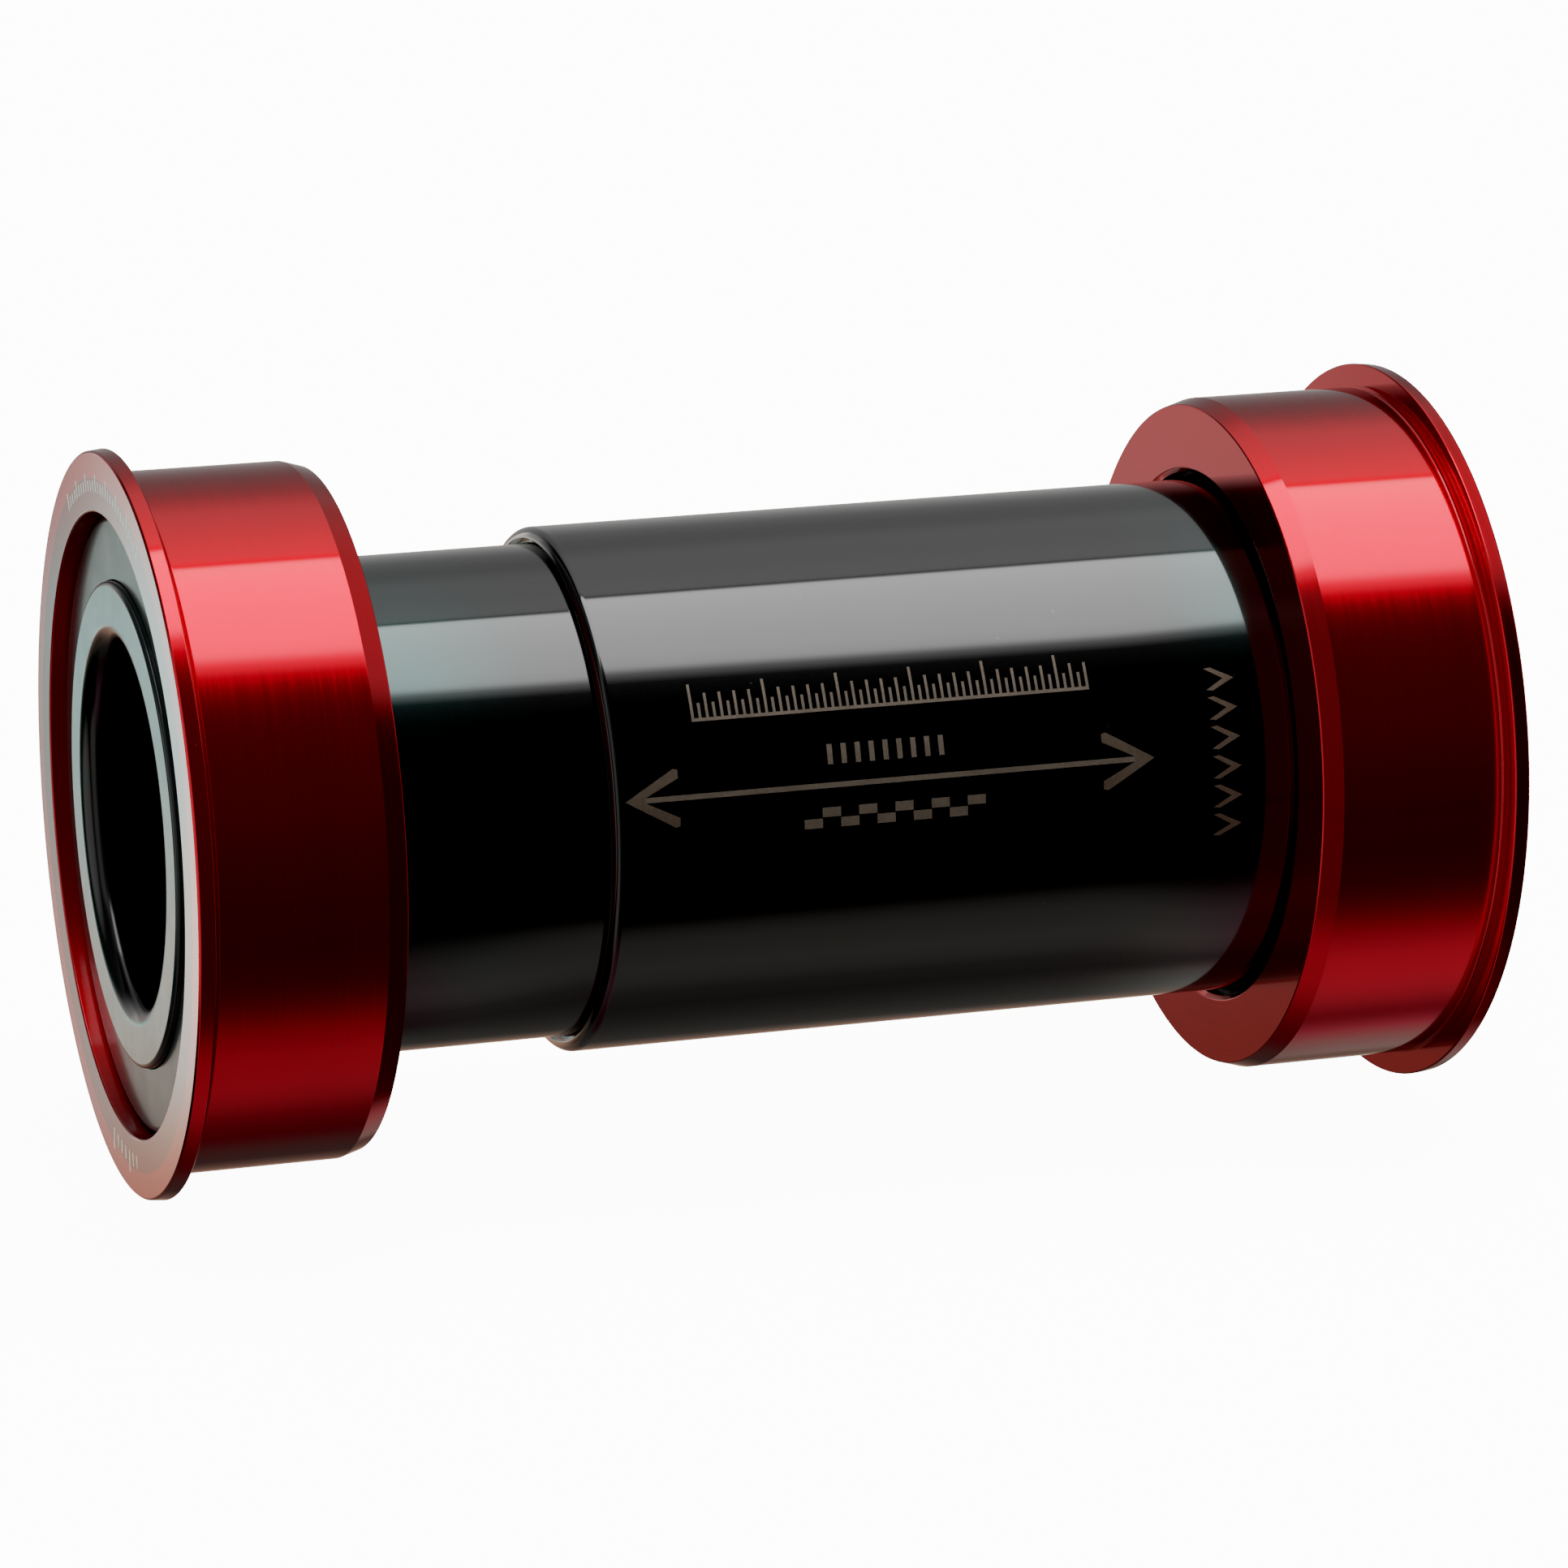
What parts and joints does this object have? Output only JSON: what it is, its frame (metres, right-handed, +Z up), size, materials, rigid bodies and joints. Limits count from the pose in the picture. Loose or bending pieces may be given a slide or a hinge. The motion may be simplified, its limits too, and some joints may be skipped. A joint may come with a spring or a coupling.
{
  "type": "bottom bracket",
  "caption": "Press-fit bottom bracket: two red flanged cups with bearings, dust shields and spindle bushes, joined by black telescoping sleeves that suit several frame widths.",
  "frame": {"origin": "centre of the bracket: on the spindle axis, half way between the outer faces of the two flanges", "axes": "+Y along the spindle axis from the drive side to the non-drive side, +Z up, +X forwards"},
  "size_m": [0.0492, 0.0896, 0.0492],
  "materials": {
    "red_anodised": "red anodised, satin gloss",
    "black_anodised": "black anodised, gloss",
    "bush_polymer": "black, fine turned satin",
    "shield_polymer": "black moulded satin",
    "bearing_steel": "ground",
    "ceramic_ball": "polished",
    "cage_polymer": "moulded",
    "seal_rubber": "moulded",
    "o_ring_rubber": "moulded"
  },
  "bodies": {
    "drive_side": {"drive_side_cup": "red_anodised", "drive_side_sleeve_o_ring": "o_ring_rubber", "drive_side_outer_race": "bearing_steel", "drive_side_outboard_seal": "seal_rubber", "drive_side_inboard_seal": "seal_rubber", "inner_sleeve": "black_anodised", "telescope_o_ring": "o_ring_rubber"},
    "non_drive_side": {"non_drive_side_cup": "red_anodised", "non_drive_side_sleeve_o_ring": "o_ring_rubber", "non_drive_side_outer_race": "bearing_steel", "non_drive_side_outboard_seal": "seal_rubber", "non_drive_side_inboard_seal": "seal_rubber", "outer_sleeve": "black_anodised"},
    "drive_side_spindle_set": {"drive_side_inner_race": "bearing_steel", "drive_side_spindle_bush": "bush_polymer", "drive_side_bush_o_ring": "o_ring_rubber", "drive_side_dust_shield": "shield_polymer"},
    "drive_side_ball_row": {"drive_side_balls": "ceramic_ball", "drive_side_cage": "cage_polymer"},
    "non_drive_side_spindle_set": {"non_drive_side_inner_race": "bearing_steel", "non_drive_side_spindle_bush": "bush_polymer", "non_drive_side_bush_o_ring": "o_ring_rubber", "non_drive_side_dust_shield": "shield_polymer"},
    "non_drive_side_ball_row": {"non_drive_side_balls": "ceramic_ball", "non_drive_side_cage": "cage_polymer"}
  },
  "joints": [
    {"name": "sleeve_slide", "type": "slide", "parent": "drive_side", "child": "non_drive_side", "axis": [0, 1, 0], "range_m": [-0.0083, 0.0047]},
    {"name": "drive_side_spin", "type": "hinge", "parent": "drive_side", "child": "drive_side_spindle_set", "pos_m": [0, -0.03895, 0], "axis": [0, 1, 0], "continuous": true},
    {"name": "drive_side_cage_spin", "type": "hinge", "parent": "drive_side", "child": "drive_side_ball_row", "pos_m": [0, -0.03895, 0], "axis": [0, 1, 0], "continuous": true},
    {"name": "non_drive_side_spin", "type": "hinge", "parent": "non_drive_side", "child": "non_drive_side_spindle_set", "pos_m": [0, 0.03895, 0], "axis": [0, 1, 0], "continuous": true},
    {"name": "non_drive_side_cage_spin", "type": "hinge", "parent": "non_drive_side", "child": "non_drive_side_ball_row", "pos_m": [0, 0.03895, 0], "axis": [0, 1, 0], "continuous": true}
  ],
  "couplings": [
    {"joint": "drive_side_cage_spin", "follows": "drive_side_spin", "ratio": 0.4514},
    {"joint": "non_drive_side_cage_spin", "follows": "non_drive_side_spin", "ratio": 0.4514}
  ]
}
